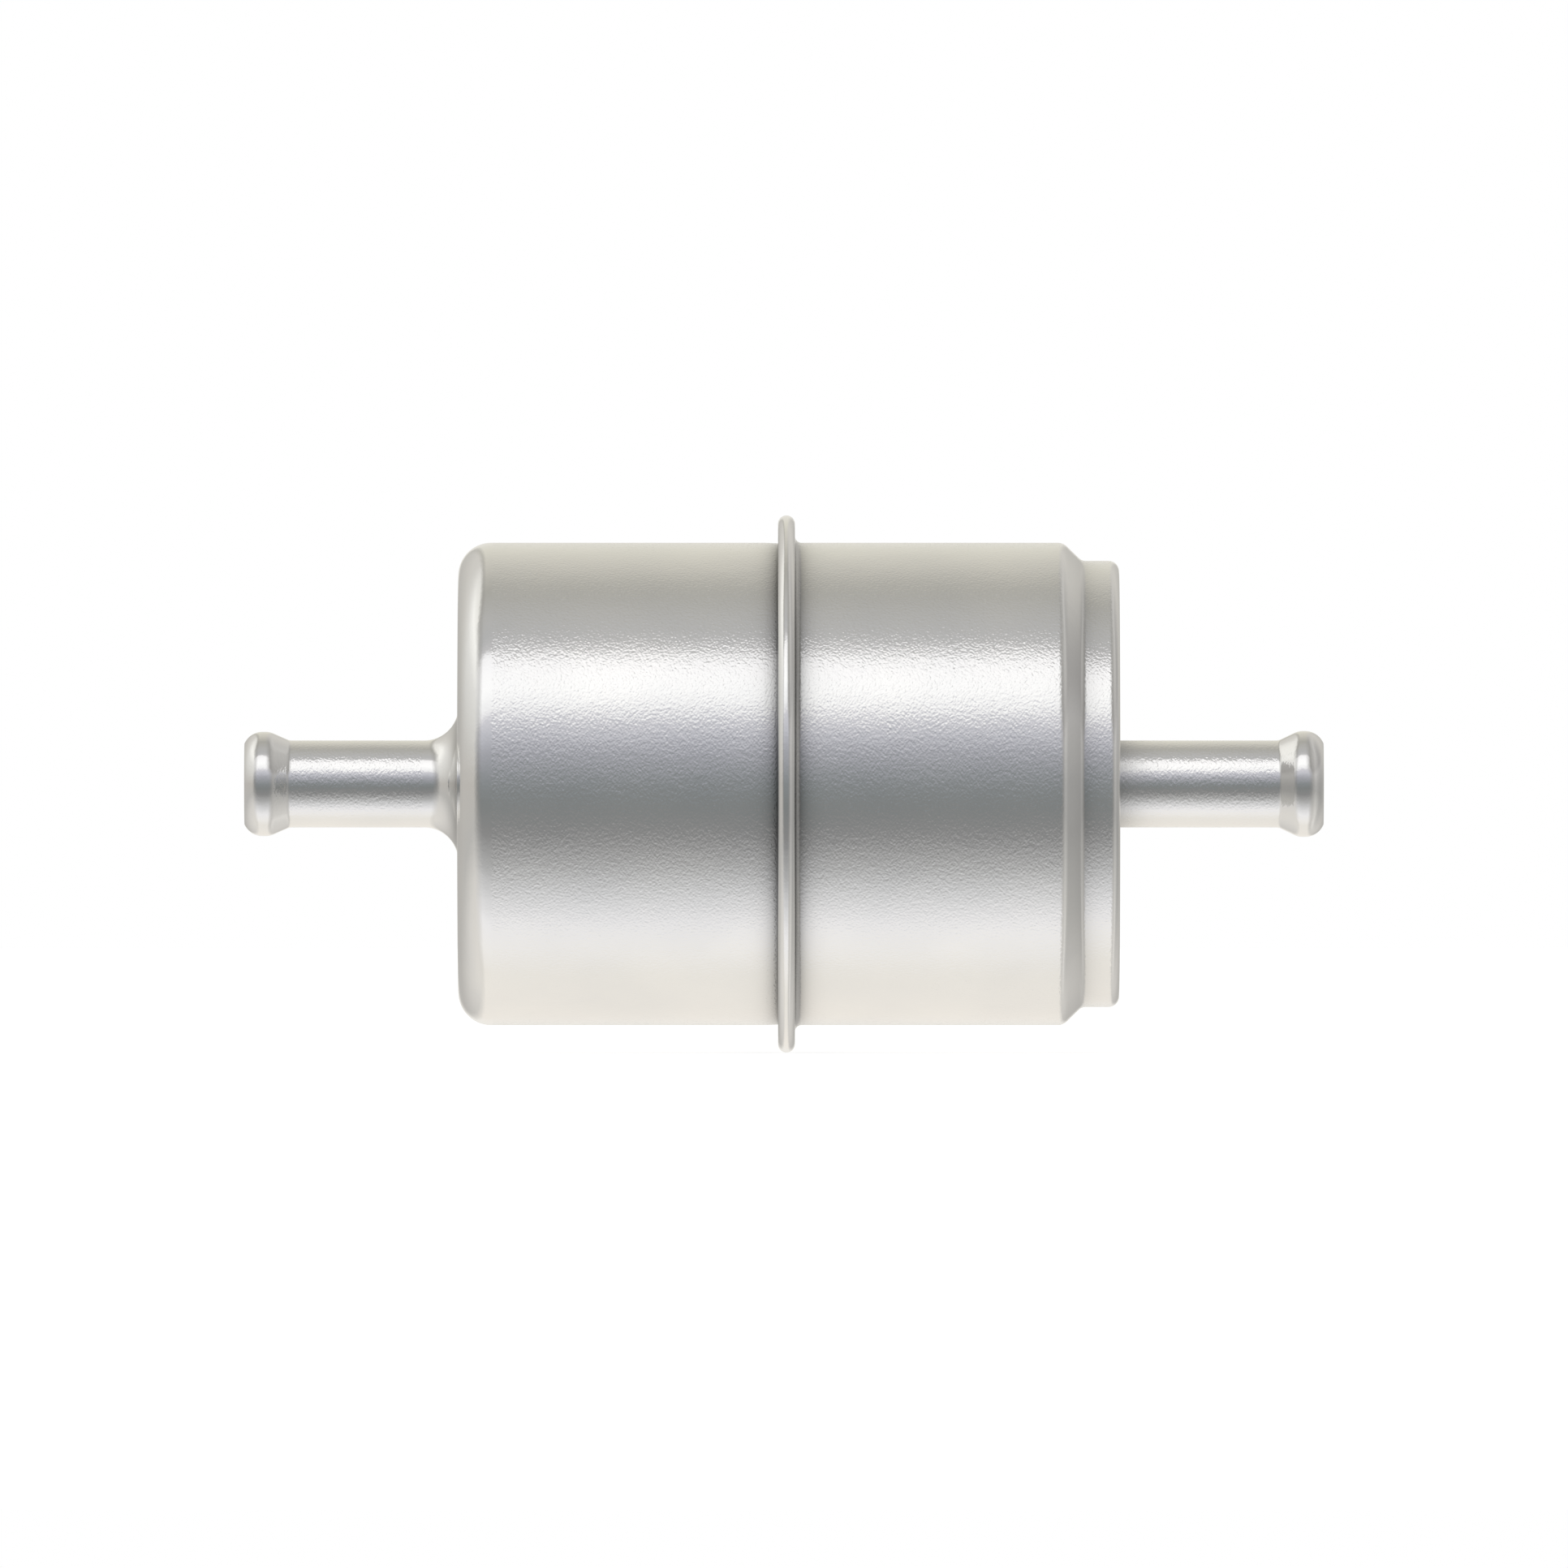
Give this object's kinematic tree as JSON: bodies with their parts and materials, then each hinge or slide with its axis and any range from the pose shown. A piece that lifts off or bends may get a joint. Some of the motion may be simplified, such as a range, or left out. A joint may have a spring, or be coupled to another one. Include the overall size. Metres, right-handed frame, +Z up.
{
  "type": "fuel filter",
  "caption": "In-line steel fuel filter: two drawn cans joined by a rolled seam, beaded hose tubes at both ends and a spring-held pleated paper cartridge inside.",
  "frame": {"origin": "on the filter's axis, midway between the two tube tips", "axes": "+X runs along the axis in the flow direction, from the inlet tip to the outlet tip; +Z is up"},
  "size_m": [0.0984, 0.049, 0.049],
  "materials": {
    "can_steel": "satin tin plate with a fine orange-peel texture",
    "tube_steel": "satin tin plate",
    "seam_compound": "dull",
    "braze_copper": "dull copper braze",
    "spring_wire": "drawn wire",
    "cap_tinplate": "satin tin plate",
    "plastisol": "matt, slightly uneven",
    "core_tinplate": "satin tin plate",
    "filter_paper": "resin-treated crepe paper",
    "clip_tinplate": "satin tin plate",
    "gasket_rubber": "matt"
  },
  "bodies": {
    "housing": {"inlet_shell": "can_steel", "outlet_shell": "can_steel", "seam_seal": "seam_compound", "outlet_tube": "tube_steel", "braze_ring": "braze_copper", "preload_spring": "spring_wire"},
    "element": {"inlet_end_cap": "cap_tinplate", "outlet_end_cap": "cap_tinplate", "inlet_potting": "plastisol", "outlet_potting": "plastisol", "perforated_core": "core_tinplate", "pleated_paper": "filter_paper", "paper_seam_clip": "clip_tinplate", "outlet_gasket": "gasket_rubber"}
  },
  "joints": [
    {"name": "element_float", "type": "slide", "parent": "housing", "child": "element", "axis": [-1, 0, 0], "range_m": [0, 0.0025], "stiffness_N_per_m": 1500, "springref_m": -0.004, "deforming": ["preload_spring"]}
  ]
}
